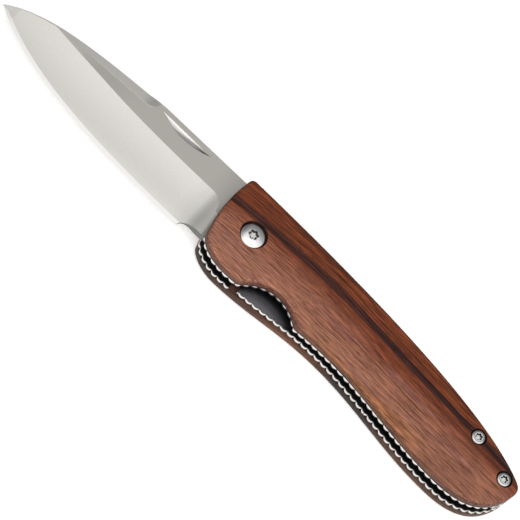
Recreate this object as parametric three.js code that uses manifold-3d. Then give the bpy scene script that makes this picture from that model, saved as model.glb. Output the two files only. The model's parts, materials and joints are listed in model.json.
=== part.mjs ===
import * as THREE from 'three';
import { mergeVertices } from 'three/addons/utils/BufferGeometryUtils.js';
import Module from 'manifold-3d';

// Folding pocket knife with a lock bar cut from its lock-side liner, open and lying on that side.
// Millimetres. The pieces are drawn around the pivot: x runs to the butt, y to the spine, and z
// from the lock side up to the mark side, the side with the nail nick and the thumb cut-out.

// Thicknesses, from the lock side up
const scaleThickness = 2.7;
const linerThickness = 1.2;
const bladeThickness = 2.3;
const washerThickness = 0.15;
const washerPlay = 0.05;

// Blade
const bladeReach = 84.7; // pivot to tip
const spineHeight = 11.7; // pivot to spine
const edgeDepth = 10.2; // pivot to edge at the heel
const tipHeight = 1.5; // tip above the pivot
const spineFallStart = 37; // where the spine starts to fall, in front of the pivot
const heelPlace = 15.6; // end of the edge, in front of the pivot
const edgeHandles = [0.43, 0.77, 0.15]; // of the edge's curve, as shares of its run and rise
const spineHandles = [0.42, 0.12, 0.79, 0.3]; // of the spine's curve, as shares of its run and fall
const choilLength = 3.6;
const heelEnd = 0.25; // the edge runs out over this length
const plungeFront = 14.8; // where the hollow of the plunge begins
const plungeBack = 11; // plunge line at the ricasso
const plungeRound = 4;
const bevelWidth = 13.6; // edge to grind line at the heel
const bevelTaper = 1.6; // how much narrower it is where the false edge ends
const sharpWidth = 1.1; // last bevel at the edge
const sharpBack = 0.6; // blade thickness behind that last bevel
const falseEdgeStart = 39.5; // in front of the pivot
const falseEdgeEnd = 70.6; // where the bevel reaches the spine
const falseEdgeWidth = 2.2;
const falseEdgeRun = 2.2; // run-in at its rear end
const falseEdgeSpine = 0.9; // spine thickness left by the false edge
const leastLand = 0.02; // narrowest strip left where a bevel runs out, as a share of the width
const tangOverlap = 1.4; // how far the ground part runs into the tang's outline
const nickPlace = 28.9; // middle of the nail nick, in front of the pivot
const nickLength = 16.5;
const nickWidth = 1.4;
const nickDepth = 0.6;
const nickBelowSpine = 1.45;

// Handle outline
const frontReach = 9.9; // pivot to the front edge's upper corner
const frontBow = 1.5; // how far the front edge's curve is drawn forward
const frontLowReach = 8.3; // front edge's lower corner
const frontLowDepth = 8.7;
const spineStand = 0.2; // handle's spine over the blade's spine
const tipRoom = 6.5; // closed tip to the butt
const buttDrop = 0.4; // butt point below the pivot
const bulgePlace = 0.8; // behind the pivot
const bulgeDepth = 12.4; // belly under the pivot
const waistPlace = 32;
const waistDepth = 9.9;
const palmInset = 16.7; // lowest point of the belly, in front of the butt
const palmDepth = 14.2;
const levelPull = 0.38; // how far a level run reaches, as a share of the curve
const frontLowPull = [1.1, 1.9]; // from the front edge's lower corner into the belly
const bulgePull = 4.2;
const palmPull = 10.5;
const buttPull = [1, 9]; // from the butt down into the belly
const spinePull = [15.5, 9.9]; // from the butt up into the spine
const spineLevel = [2, 0.3]; // in front of the waist and under the spine's highest line
const cornerRound = 1.6;
const edgeRound = 0.9; // rounding round the outer faces of the scales
const cutoutPlace = 15.2; // thumb cut-out in the mark side
const cutoutRadius = 10.6;
const cutoutDepth = 7; // pivot to the top of the cut-out
const cutoutFrontBlend = 2.4; // how softly the cut-out leaves the belly, in front and behind
const cutoutRearBlend = 0.8;

// Filework on the liners and the spacer
const filePitch = 2.2;
const fileDepth = 0.42;
const fileStand = 0.05; // crests stand this much proud of the wood

// Pivot
const barrelRadius = 2.4;
const barrelBore = 1.6;
const washerRadius = 5;
const pivotHeadRadius = 3.3;
const pivotHeadHeight = 1.55;
const pivotRimHeight = 0.9;
const pivotRecess = 1.2; // half the width across the star
const turnFit = 0.1; // between the barrel and what turns on it or seats on it

// Rear screws and their bushes
const rearHeadRadius = 1.95;
const rearHeadHeight = 1.55;
const rearRimHeight = 1.15;
const rearRecess = 0.85;
const starPoints = 6;
const starFlute = 0.14; // share of the star's reach
const recessDepth = 0.6; // share of the head's height
const bushRadius = 1.7;
const bushBore = 1.15;
const spineScrewInset = 16.5; // in front of the butt
const spineScrewRise = 2.4;
const buttScrewInset = 4.9;
const buttScrewDrop = 1.4;

// Heads sunk in the scales
const headSink = 1.6;
const headRoom = 0.35; // round a head
const threadRoom = 0.1;
const shankLength = 3;
const endRoom = 0.1; // ends of barrel, bushes and pin, short of what covers them

// Lock, stop and detent
const closedTurn = 177; // degrees from open to closed
const stopRadius = 1.4;
const stopReach = 2.1; // how much further from the pivot the stop pin is than the ricasso's lower side
const stopWall = 0.73; // least liner left over the stop pin
const stopGap = 0.1;
const tangRoom = 0.2; // between the turning tang and the stop pin
const lockFace = 5.8; // pivot to the top of the lock face
const lockLean = 0.08; // how far the lock face leans back for each millimetre down
const lockGap = 0.3;
const barTop = 3.2; // upper edge of the lock bar, below the pivot
const barSlit = 0.7;
const barRoot = 50; // where the bar bends, behind the pivot
const barEndSlot = 2.4; // opening in the liner in front of the bar
const reliefRadius = 1.1;
const barTravel = 1.25; // free end, from flush to engaged
const ballRadius = 0.6;
const ballStand = 0.15;
const ballBehindLock = 3; // ball, behind the bar's free end
const ballBelowTop = 2.2; // ball, below the bar's upper edge
const seatGap = 0.1;

// Back spacer
const spacerLength = 42;
const spacerRoom = 1; // between the closed edge and the spacer
const spacerLegDepth = 6.8; // how far it reaches down the butt

const cutPast = 1; // how far a cutter runs past what it cuts

// Facets
const pivotFacets = 32;
const smallFacets = 24;
const ballFacets = 12;
const nickFacets = 260;
const outlineStep = 1.7;
const wavePoints = 4;

// Heights of the layers
const lockLinerBase = scaleThickness;
const slotBase = lockLinerBase + linerThickness;
const bladeBase = slotBase + washerThickness + washerPlay;
const bladeTop = bladeBase + bladeThickness;
const markLinerBase = bladeTop + washerPlay + washerThickness;
const markScaleBase = markLinerBase + linerThickness;
const handleTop = markScaleBase + scaleThickness;

// Places that follow from the sizes above
const handleBack = bladeReach + tipRoom;
const handleSpine = spineHeight + spineStand;
const closedAngle = THREE.MathUtils.degToRad(closedTurn);
// The ricasso's lower side, below the pivot: shut, it lies on the stop pin under the handle's spine
const ricassoDepth = handleSpine - fileDepth + fileStand - stopWall - 2 * stopRadius - stopGap;
const stopDistance = ricassoDepth + stopReach;
const kickAngle = Math.asin((ricassoDepth + stopRadius + stopGap) / stopDistance) - Math.PI;
const stopAngle = kickAngle + closedAngle;
const stopPlace = new THREE.Vector2(Math.cos(stopAngle), Math.sin(stopAngle)).multiplyScalar(stopDistance);
const tangRadius = stopDistance - stopRadius - tangRoom;
const spineScrew = new THREE.Vector2(handleBack - spineScrewInset, spineScrewRise);
const buttScrew = new THREE.Vector2(handleBack - buttScrewInset, -buttScrewDrop);

const wasm = await Module();
wasm.setup();

const wood = new THREE.MeshStandardMaterial({ color: 0x96604f, roughness: 0.5, metalness: 0 });
const bladeSteel = new THREE.MeshStandardMaterial({ color: 0xc9c7c2, roughness: 0.3, metalness: 1 });
const polishedSteel = new THREE.MeshStandardMaterial({ color: 0xd2d1cd, roughness: 0.15, metalness: 1 });
const barSteel = new THREE.MeshStandardMaterial({ color: 0x8b8b8c, roughness: 0.35, metalness: 1 });
const bronze = new THREE.MeshStandardMaterial({ color: 0xb08d57, roughness: 0.35, metalness: 1 });

const knife = new THREE.Group();
const origin = new THREE.Vector2();

function solid(geometry) {
  geometry.deleteAttribute('normal');
  geometry.deleteAttribute('uv');
  const merged = mergeVertices(geometry, 1e-4);
  const corners = merged.index.array;
  const triVerts = [];
  for (let i = 0; i < corners.length; i += 3) {
    const [a, b, c] = corners.slice(i, i + 3);
    if (a !== b && b !== c && c !== a) triVerts.push(a, b, c);
  }
  return new wasm.Manifold(new wasm.Mesh({
    numProp: 3,
    vertProperties: new Float32Array(merged.attributes.position.array),
    triVerts: new Uint32Array(triVerts),
  }));
}

function addPiece(name, body, material, parent = knife) {
  const { vertProperties, triVerts } = body.getMesh();
  const geometry = new THREE.BufferGeometry();
  geometry.setAttribute('position', new THREE.BufferAttribute(vertProperties, 3));
  geometry.setIndex(new THREE.BufferAttribute(triVerts, 1));
  geometry.computeVertexNormals();
  const mesh = new THREE.Mesh(geometry, material);
  mesh.name = name;
  parent.add(mesh);
  return mesh;
}

function cutAway(body, cutters) {
  return cutters.reduce((rest, cutter) => rest.subtract(cutter), body);
}

function plate(shape, from, to) {
  const depth = to - from;
  const geometry = new THREE.ExtrudeGeometry(shape, { depth, bevelEnabled: false, curveSegments: 24 });
  return solid(geometry.translate(0, 0, from));
}

function round(radius, from, to, place = origin, facets = smallFacets) {
  const geometry = new THREE.CylinderGeometry(radius, radius, to - from, facets);
  geometry.rotateX(Math.PI / 2).translate(place.x, place.y, (from + to) / 2);
  return solid(geometry);
}

function block(minX, maxX, minY, maxY, minZ, maxZ) {
  const geometry = new THREE.BoxGeometry(maxX - minX, maxY - minY, maxZ - minZ);
  return solid(geometry.translate((minX + maxX) / 2, (minY + maxY) / 2, (minZ + maxZ) / 2));
}

function spaced(curve, step) {
  return curve.getSpacedPoints(Math.max(2, Math.round(curve.getLength() / step)));
}

// Joins curves that follow each other into one list of points, each shared end once
function chain(curves, step) {
  return curves.flatMap((curve, i) => spaced(curve, step).slice(i === 0 ? 0 : 1));
}

// Handle outline

const frontLow = new THREE.Vector2(-frontLowReach, -frontLowDepth);
const bulge = new THREE.Vector2(bulgePlace, -bulgeDepth);
const waist = new THREE.Vector2(waistPlace, -waistDepth);
const palm = new THREE.Vector2(handleBack - palmInset, -palmDepth);
const butt = new THREE.Vector2(handleBack, -buttDrop);
const frontTop = new THREE.Vector2(-frontReach, handleSpine);

// A curve that leaves and arrives level, from one highest or lowest point to the next
function levelCurve(start, end) {
  const reach = levelPull * (end.x - start.x);
  return new THREE.CubicBezierCurve(
    start, new THREE.Vector2(start.x + reach, start.y), new THREE.Vector2(end.x - reach, end.y), end,
  );
}

const bellyCurves = [
  new THREE.CubicBezierCurve(
    frontLow,
    new THREE.Vector2(frontLow.x + frontLowPull[0], frontLow.y - frontLowPull[1]),
    new THREE.Vector2(bulge.x - bulgePull, bulge.y),
    bulge,
  ),
  levelCurve(bulge, waist),
  levelCurve(waist, palm),
  new THREE.CubicBezierCurve(
    palm,
    new THREE.Vector2(palm.x + palmPull, palm.y),
    new THREE.Vector2(butt.x - buttPull[0], butt.y - buttPull[1]),
    butt,
  ),
];

const spineStart = new THREE.Vector2(frontTop.x + cornerRound, frontTop.y);
const spineCurve = new THREE.CubicBezierCurve(
  butt,
  new THREE.Vector2(butt.x - spinePull[0], butt.y + spinePull[1]),
  new THREE.Vector2(waistPlace - spineLevel[0], handleSpine - spineLevel[1]),
  spineStart,
);

const frontStart = new THREE.Vector2(frontTop.x, frontTop.y - cornerRound);
const frontCurves = [
  new THREE.QuadraticBezierCurve(spineStart, frontTop, frontStart),
  new THREE.QuadraticBezierCurve(
    frontStart,
    new THREE.Vector2(frontTop.x - frontBow, (frontTop.y + frontLow.y) / 2 - 0.4),
    frontLow,
  ),
];

// The larger of two heights, with a rounded change from one to the other
function softMax(a, b, blend) {
  const overlap = Math.max(blend - Math.abs(a - b), 0) / blend;
  return Math.max(a, b) + overlap * overlap * blend / 4;
}

function cutThumbSpace(point) {
  const across = point.x - cutoutPlace;
  if (Math.abs(across) >= cutoutRadius) return point;
  const arc = Math.sqrt(cutoutRadius ** 2 - across ** 2) - cutoutRadius - cutoutDepth;
  return new THREE.Vector2(point.x, softMax(point.y, arc, across < 0 ? cutoutFrontBlend : cutoutRearBlend));
}

// Belly, butt and spine, from the front edge's lower corner round to its upper one
function longSide(cutOut, step) {
  const belly = chain(bellyCurves, step / 2);
  const spine = spaced(spineCurve, step).slice(1);
  return [...(cutOut ? belly.map(cutThumbSpace) : belly), ...spine];
}

function frontSide() {
  return chain(frontCurves, outlineStep).slice(1, -1);
}

function plainOutline(cutOut) {
  return new THREE.Shape([...longSide(cutOut, outlineStep), ...frontSide()]);
}

// The same outline with the filework: rounded crests that meet in narrow notches
function filedOutline(cutOut) {
  const path = longSide(cutOut, filePitch / 4);
  const reach = [0];
  for (let i = 1; i < path.length; i++) reach.push(reach[i - 1] + path[i].distanceTo(path[i - 1]));
  const length = reach[reach.length - 1];
  const waves = Math.round(length / filePitch);

  let segment = 1;
  const along = (distance) => {
    while (segment < path.length - 1 && reach[segment] < distance) segment++;
    while (segment > 1 && reach[segment - 1] > distance) segment--;
    const share = (distance - reach[segment - 1]) / (reach[segment] - reach[segment - 1]);
    return path[segment - 1].clone().lerp(path[segment], share);
  };

  const points = [];
  for (let i = 0; i <= waves * wavePoints; i++) {
    const distance = length * i / (waves * wavePoints);
    const before = along(Math.max(distance - filePitch / 2, 0));
    const after = along(Math.min(distance + filePitch / 2, length));
    const outward = new THREE.Vector2(after.y - before.y, before.x - after.x).normalize();
    const crest = Math.abs(Math.cos(Math.PI * i / wavePoints));
    points.push(along(distance).addScaledVector(outward, fileStand - fileDepth * (1 - crest)));
  }
  return new THREE.Shape([...points, ...frontSide()]);
}

// Blade: cross-sections along its length, then the tang

const tip = new THREE.Vector2(-bladeReach, tipHeight);
const heel = new THREE.Vector2(-heelPlace, -edgeDepth);
const edgeRun = bladeReach - heelPlace;
const edgeRise = edgeDepth + tipHeight;
const edgeCurve = new THREE.CubicBezierCurve(
  heel,
  new THREE.Vector2(heel.x - edgeHandles[0] * edgeRun, heel.y),
  new THREE.Vector2(heel.x - edgeHandles[1] * edgeRun, heel.y + edgeHandles[2] * edgeRise),
  tip,
);
const spineRun = bladeReach - spineFallStart;
const spineFall = spineHeight - tipHeight;
const fallFrom = new THREE.Vector2(-spineFallStart, spineHeight);
const bladeSpineCurve = new THREE.CubicBezierCurve(
  fallFrom,
  new THREE.Vector2(fallFrom.x - spineHandles[0] * spineRun, fallFrom.y - spineHandles[1] * spineFall),
  new THREE.Vector2(fallFrom.x - spineHandles[2] * spineRun, fallFrom.y - spineHandles[3] * spineFall),
  tip,
);

// Height of a curve that runs steadily towards the tip
function heightAt(curve, x) {
  let low = 0;
  let high = 1;
  for (let i = 0; i < 40; i++) {
    const middle = (low + high) / 2;
    if (curve.getPoint(middle).x > x) low = middle;
    else high = middle;
  }
  return curve.getPoint(low).y;
}

function bladeSpineAt(x) {
  return x > -spineFallStart ? spineHeight : heightAt(bladeSpineCurve, x);
}

function bladeLowerSideAt(x) {
  if (x <= -heelPlace) return heightAt(edgeCurve, x);
  const along = Math.min(Math.max((x + heelPlace) / choilLength, 0), 1);
  const rise = Math.sqrt(1 - (1 - along) ** 2);
  return -edgeDepth + (edgeDepth - ricassoDepth) * rise;
}

function clamp01(value) {
  return THREE.MathUtils.clamp(value, 0, 1);
}

// One cross-section, from the spine down the mark side to the edge and up the lock side
function bladeSection(x) {
  const halfBlade = bladeThickness / 2;
  const spine = bladeSpineAt(x);
  const lower = bladeLowerSideAt(x);
  const width = spine - lower;
  const inFrontOfHeel = x <= -heelPlace;
  const edge = inFrontOfHeel ? lower : -edgeDepth;
  const sharp = Math.min(sharpWidth, 0.3 * width);
  const behind = Math.min(sharpBack / 2, 0.06 * width);
  const slope = (halfBlade - sharpBack / 2) / (bevelWidth - sharpWidth);
  const into = clamp01((x + plungeFront) / (plungeFront - plungeBack));
  const plunge = 1 - Math.sqrt(1 - into ** 2);
  const bevelAt = (y) => {
    const ground = Math.min(behind + slope * (y - edge - sharp), halfBlade);
    return ground + (halfBlade - ground) * plunge;
  };

  const falseEdge = clamp01((-falseEdgeStart - x) / falseEdgeRun);
  const runOut = clamp01((-falseEdgeStart - x) / (falseEdgeEnd - falseEdgeStart));
  const falseWidth = Math.max(falseEdgeWidth * Math.sqrt(1 - runOut ** 2), leastLand * width);
  const falseSlope = (halfBlade - falseEdgeSpine / 2) / falseEdgeWidth;
  const shoulder = spine - falseWidth;
  const spineHalf = bevelAt(shoulder) - falseSlope * falseWidth * falseEdge;
  const narrowing = clamp01((-heelPlace - x) / (falseEdgeEnd - heelPlace));
  const bevelTop = edge + bevelWidth - bevelTaper * narrowing ** 2 - plungeRound * plunge;
  const grind = Math.min(bevelTop, shoulder - leastLand * width);
  const land = inFrontOfHeel ? sharp : leastLand;
  const side = [
    [spine, spineHalf],
    [shoulder, bevelAt(shoulder)],
    [grind, bevelAt(grind)],
    [lower + land, bevelAt(lower + land)],
  ];
  return [
    ...side.map(([y, half]) => new THREE.Vector3(x, y, half)),
    new THREE.Vector3(x, lower, 0),
    ...side.reverse().map(([y, half]) => new THREE.Vector3(x, y, -half)),
  ];
}

// Skins a row of cross-sections that ends in one point
function skin(sections, point) {
  const size = sections[0].length;
  const positions = [...sections.flat(), point].flatMap((p) => p.toArray());
  const index = [];
  for (let i = 0; i + 1 < sections.length; i++) {
    for (let j = 0; j < size; j++) {
      const a = i * size + j;
      const b = i * size + (j + 1) % size;
      index.push(a, a + size, b, b, a + size, b + size);
    }
  }
  const last = (sections.length - 1) * size;
  for (let j = 0; j < size; j++) index.push(last + j, sections.length * size, last + (j + 1) % size);
  for (let j = 1; j + 1 < size; j++) index.push(0, j, j + 1);
  const geometry = new THREE.BufferGeometry();
  geometry.setAttribute('position', new THREE.Float32BufferAttribute(positions, 3));
  geometry.setIndex(index);
  return geometry;
}

function bladeStations() {
  const stations = [-plungeBack + tangOverlap, -plungeBack];
  const plungeSteps = 6;
  for (let i = 1; i < plungeSteps; i++) {
    stations.push(-plungeBack - (plungeFront - plungeBack) * i / plungeSteps);
  }
  stations.push(-plungeFront, -heelPlace + heelEnd, -heelPlace);
  const steadySteps = 7;
  for (let i = 1; i <= steadySteps; i++) {
    stations.push(-heelPlace - (spineFallStart - heelPlace) * i / steadySteps);
  }
  const tipSteps = 22;
  const tipFrom = falseEdgeStart + falseEdgeRun;
  stations.push(-falseEdgeStart, -tipFrom);
  for (let i = 1; i < tipSteps; i++) {
    const share = 1 - (1 - i / tipSteps) ** 1.3;
    stations.push(-tipFrom - (bladeReach - tipFrom) * share);
  }
  return stations.sort((a, b) => b - a);
}

function lockFaceAt(y) {
  return lockFace + lockLean * (-y - barTop);
}

function tangShape() {
  const front = -plungeBack;
  const bottom = -Math.asin(ricassoDepth / tangRadius);
  const shoulder = stopAngle + Math.asin((stopRadius + stopGap) / stopDistance);
  const shape = new THREE.Shape();
  shape.moveTo(front, -ricassoDepth);
  shape.lineTo(tangRadius * Math.cos(bottom), -ricassoDepth);
  shape.absarc(0, 0, tangRadius, bottom, shoulder, false);
  shape.lineTo(spineHeight / Math.tan(shoulder), spineHeight);
  shape.lineTo(front, spineHeight);
  return shape;
}

function nailNickCutter() {
  const radius = (nickLength ** 2 / 4 + nickDepth ** 2) / (2 * nickDepth);
  const slope = nickDepth / nickWidth;
  const height = nickWidth + nickBelowSpine / 4;
  const cutter = new THREE.CylinderGeometry(radius, radius - slope * height, height, nickFacets);
  const top = spineHeight - nickBelowSpine;
  return solid(cutter.translate(-nickPlace, top - height / 2, bladeTop + radius - nickDepth));
}

const reliefPlace = new THREE.Vector2(barRoot - reliefRadius, barSlit / 2 - barTop);
const ballPlace = new THREE.Vector2(
  lockFaceAt(-barTop - ballBelowTop) + lockGap + ballBehindLock,
  -barTop - ballBelowTop,
);

function makeBlade() {
  const middle = (bladeBase + bladeTop) / 2;
  const ground = solid(skin(bladeStations().map(bladeSection), new THREE.Vector3(tip.x, tip.y, 0))
    .translate(0, 0, middle));
  const tang = plate(tangShape(), bladeBase, bladeTop);
  const lockNotch = new THREE.Shape([
    new THREE.Vector2(lockFaceAt(-barTop + lockGap), -barTop + lockGap),
    new THREE.Vector2(lockFaceAt(-2 * bulgeDepth), -2 * bulgeDepth),
    new THREE.Vector2(2 * tangRadius, -2 * bulgeDepth),
    new THREE.Vector2(2 * tangRadius, -barTop + lockGap),
  ]);
  const detentPlace = ballPlace.clone().rotateAround(origin, -closedAngle);
  const from = bladeBase - cutPast;
  const to = bladeTop + cutPast;
  return cutAway(ground.add(tang), [
    plate(lockNotch, from, to),
    round(barrelRadius + turnFit, from, to, origin, pivotFacets),
    round(ballRadius, from, bladeBase + ballRadius / 2, detentPlace, ballFacets),
    nailNickCutter(),
  ]);
}

// Handle plates

function pinHoles(from, to) {
  return [
    round(barrelRadius + turnFit, from, to, origin, pivotFacets),
    round(bushRadius + seatGap, from, to, spineScrew),
    round(bushRadius + seatGap, from, to, buttScrew),
  ];
}

// Rooms for the heads, in the outer face of the mark scale or of the lock scale
function headRooms(markSide) {
  const from = markSide ? handleTop - headSink : -cutPast;
  const to = markSide ? handleTop + cutPast : headSink;
  const rearRoom = rearHeadRadius + headRoom;
  return [
    round(pivotHeadRadius + headRoom, from, to, origin, pivotFacets),
    round(rearRoom, from, to, spineScrew),
    round(rearRoom, from, to, buttScrew),
  ];
}

// A scale is blanked with rounded edges on both faces, then cut flat on its inner face
function makeScale(markSide) {
  const base = markSide ? markScaleBase : 0;
  const top = base + scaleThickness;
  const geometry = new THREE.ExtrudeGeometry(plainOutline(markSide), {
    depth: scaleThickness,
    bevelThickness: edgeRound,
    bevelSize: edgeRound,
    bevelOffset: -edgeRound,
    bevelSegments: 2,
  });
  const blank = solid(geometry.translate(0, 0, markSide ? base - edgeRound : edgeRound));
  const reach = handleBack + frontReach;
  const inner = markSide
    ? block(-reach, reach, -reach, reach, base - 2 * edgeRound - cutPast, base)
    : block(-reach, reach, -reach, reach, top, top + 2 * edgeRound + cutPast);
  return cutAway(blank, [inner, ...pinHoles(base - cutPast, top + cutPast), ...headRooms(markSide)]);
}

function makeMarkLiner() {
  const top = markLinerBase + linerThickness;
  const from = markLinerBase - cutPast;
  const stopHole = round(stopRadius + seatGap, from, top + cutPast, stopPlace);
  const blank = plate(filedOutline(true), markLinerBase, top);
  return cutAway(blank, [...pinHoles(from, top + cutPast), stopHole]);
}

// The window in the lock-side liner that the lock bar lies in, or the bar's own outline
function barOutline(front, top, root) {
  const bottom = -2 * palmDepth;
  return new THREE.Shape([
    new THREE.Vector2(lockFaceAt(bottom) + front, bottom),
    new THREE.Vector2(root, bottom),
    new THREE.Vector2(root, top),
    new THREE.Vector2(lockFaceAt(top) + front, top),
  ]);
}

function makeLockLiner() {
  const from = lockLinerBase - cutPast;
  const to = slotBase + cutPast;
  return cutAway(plate(filedOutline(false), lockLinerBase, slotBase), [
    ...pinHoles(from, to),
    round(stopRadius + seatGap, from, to, stopPlace),
    plate(barOutline(lockGap - barEndSlot, barSlit - barTop, barRoot), from, to),
    round(reliefRadius, from, to, reliefPlace),
  ]);
}

function makeLockBar() {
  const from = lockLinerBase - cutPast;
  const to = slotBase + cutPast;
  const outline = plate(barOutline(lockGap, -barTop, barRoot - lockGap), from, to);
  return cutAway(plate(filedOutline(false), lockLinerBase, slotBase).intersect(outline), [
    round(reliefRadius, from, to, reliefPlace),
    round(ballRadius + seatGap, from, to, ballPlace),
  ]);
}

// The space that the closed blade needs, which the spacer is cut back from
function closedBladeRoom() {
  const closed = edgeCurve.getPoints(16).map((p) => p.clone().rotateAround(origin, closedAngle));
  const room = closed.map((p, i) => {
    const before = closed[Math.max(i - 1, 0)];
    const after = closed[Math.min(i + 1, closed.length - 1)];
    const outward = new THREE.Vector2(before.y - after.y, after.x - before.x).normalize();
    return p.clone().addScaledVector(outward, spacerRoom);
  });
  const end = room[room.length - 1];
  return new THREE.Shape([
    new THREE.Vector2(0, -2 * palmDepth),
    new THREE.Vector2(end.x + spacerRoom, -2 * palmDepth),
    new THREE.Vector2(end.x + spacerRoom, end.y),
    ...room.reverse(),
  ]);
}

function makeSpacer() {
  const reach = handleBack + frontReach;
  const from = slotBase - cutPast;
  const to = markLinerBase + cutPast;
  const blank = plate(filedOutline(false), slotBase, markLinerBase);
  const kept = block(handleBack - spacerLength, reach, -spacerLegDepth, reach, from, to);
  return cutAway(blank.intersect(kept), [
    plate(closedBladeRoom(), from, to),
    round(bushRadius + seatGap, from, to, spineScrew),
    round(bushRadius + seatGap, from, to, buttScrew),
  ]);
}

// Turned parts

function tube(outer, inner, from, to, place, facets) {
  const bore = round(inner, from - cutPast, to + cutPast, place, facets);
  return round(outer, from, to, place, facets).subtract(bore);
}

function starShape(radius) {
  const points = [];
  const count = 4 * starPoints;
  for (let i = 0; i < count; i++) {
    const angle = i * 2 * Math.PI / count;
    const reach = radius * (1 - starFlute + starFlute * Math.cos(starPoints * angle));
    points.push(new THREE.Vector2(reach * Math.cos(angle), reach * Math.sin(angle)));
  }
  return new THREE.Shape(points);
}

// A domed screw that stands on z = 0 with its head up
function makeScrew(headRadius, headHeight, rimHeight, shankRadius, recess, facets) {
  const dome = headHeight - rimHeight;
  const sphere = (headRadius ** 2 + dome ** 2) / (2 * dome);
  const profile = [new THREE.Vector2(0, -shankLength), new THREE.Vector2(shankRadius, -shankLength)];
  profile.push(new THREE.Vector2(shankRadius, 0), new THREE.Vector2(headRadius, 0));
  const domeSteps = 4;
  for (let i = 0; i < domeSteps; i++) {
    const radius = headRadius * (1 - i / domeSteps);
    profile.push(new THREE.Vector2(radius, headHeight - sphere + Math.sqrt(sphere ** 2 - radius ** 2)));
  }
  profile.push(new THREE.Vector2(0, headHeight));
  const turned = solid(new THREE.LatheGeometry(profile, facets).rotateX(Math.PI / 2));
  return turned.subtract(plate(starShape(recess), headHeight * (1 - recessDepth), headHeight + cutPast));
}

function addScrew(name, body, place, seat, headUp) {
  const screw = addPiece(name, body, polishedSteel);
  screw.position.set(place.x, place.y, seat);
  if (!headUp) screw.rotation.x = Math.PI;
}

// Assembly

addPiece('blade', makeBlade(), bladeSteel);
addPiece('mark_scale', makeScale(true), wood);
addPiece('lock_scale', makeScale(false), wood);
addPiece('mark_liner', makeMarkLiner(), polishedSteel);
addPiece('lock_liner', makeLockLiner(), polishedSteel);
addPiece('back_spacer', makeSpacer(), polishedSteel);

const markSeat = handleTop - headSink;
const bushFrom = headSink + endRoom;
const bushTo = markSeat - endRoom;
const barrel = tube(barrelRadius, barrelBore, bushFrom, bushTo, origin, pivotFacets);
addPiece('pivot_barrel', barrel, polishedSteel);
for (const [side, from] of [['lock', slotBase], ['mark', markLinerBase - washerThickness]]) {
  const to = from + washerThickness;
  const washer = tube(washerRadius, barrelRadius + turnFit, from, to, origin, pivotFacets);
  addPiece(`${side}_washer`, washer, bronze);
}
addPiece('stop_pin',
  round(stopRadius, lockLinerBase + endRoom, markScaleBase - endRoom, stopPlace), polishedSteel);
addPiece('spine_bush', tube(bushRadius, bushBore, bushFrom, bushTo, spineScrew), polishedSteel);
addPiece('butt_bush', tube(bushRadius, bushBore, bushFrom, bushTo, buttScrew), polishedSteel);

const pivotScrew = makeScrew(
  pivotHeadRadius, pivotHeadHeight, pivotRimHeight, barrelBore - threadRoom, pivotRecess, pivotFacets,
);
const rearScrew = makeScrew(
  rearHeadRadius, rearHeadHeight, rearRimHeight, bushBore - threadRoom, rearRecess, smallFacets,
);
for (const [side, headUp] of [['mark', true], ['lock', false]]) {
  const seat = headUp ? markSeat : headSink;
  addScrew(`${side}_pivot_screw`, pivotScrew, origin, seat, headUp);
  addScrew(`${side}_spine_screw`, rearScrew, spineScrew, seat, headUp);
  addScrew(`${side}_butt_screw`, rearScrew, buttScrew, seat, headUp);
}

// The lock bar leans into the slot from its root, and carries the detent ball
const barMiddle = lockLinerBase + linerThickness / 2;
const barHinge = new THREE.Group();
barHinge.position.set(barRoot, 0, barMiddle);
barHinge.rotation.y = Math.asin(barTravel / (barRoot - lockFaceAt(-bulgeDepth) - lockGap));
knife.add(barHinge);
const bar = addPiece('lock_bar', makeLockBar(), barSteel, barHinge);
const ballHeight = slotBase + ballStand - ballRadius;
const ballGeometry = new THREE.SphereGeometry(ballRadius, ballFacets, 8);
const ball = addPiece('detent_ball', solid(ballGeometry.translate(ballPlace.x, ballPlace.y, ballHeight)),
  polishedSteel, barHinge);
bar.position.set(-barRoot, 0, -barMiddle);
ball.position.copy(bar.position);

// The row's origin is under the middle of the knife
const extent = new THREE.Box3().setFromObject(knife);
const centre = extent.getCenter(new THREE.Vector3());
knife.position.set(-centre.x, -centre.y, -extent.min.z);

export default knife;
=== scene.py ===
import json
import math

import bmesh
import bpy
import numpy as np
from mathutils import Matrix, Vector


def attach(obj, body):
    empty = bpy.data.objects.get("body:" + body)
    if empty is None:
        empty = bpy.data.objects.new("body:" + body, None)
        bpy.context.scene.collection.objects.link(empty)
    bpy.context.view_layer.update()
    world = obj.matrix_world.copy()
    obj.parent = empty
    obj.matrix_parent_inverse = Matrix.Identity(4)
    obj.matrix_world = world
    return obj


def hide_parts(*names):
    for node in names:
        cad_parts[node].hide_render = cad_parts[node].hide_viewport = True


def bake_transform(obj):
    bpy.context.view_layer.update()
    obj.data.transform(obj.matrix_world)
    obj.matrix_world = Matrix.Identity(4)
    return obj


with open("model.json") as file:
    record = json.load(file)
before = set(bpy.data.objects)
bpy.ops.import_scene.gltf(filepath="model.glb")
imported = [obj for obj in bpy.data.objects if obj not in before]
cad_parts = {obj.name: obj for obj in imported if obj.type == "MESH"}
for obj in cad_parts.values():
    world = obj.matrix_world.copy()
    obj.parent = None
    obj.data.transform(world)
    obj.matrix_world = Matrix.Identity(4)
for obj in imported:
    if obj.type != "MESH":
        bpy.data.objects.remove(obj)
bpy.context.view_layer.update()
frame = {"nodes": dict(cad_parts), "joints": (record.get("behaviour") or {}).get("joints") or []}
nodes = frame["nodes"]
pivot = Vector(frame["joints"][0]["pos_m"])  # the drawing's point (0, 0), in the row frame
mm = 0.001

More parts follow.
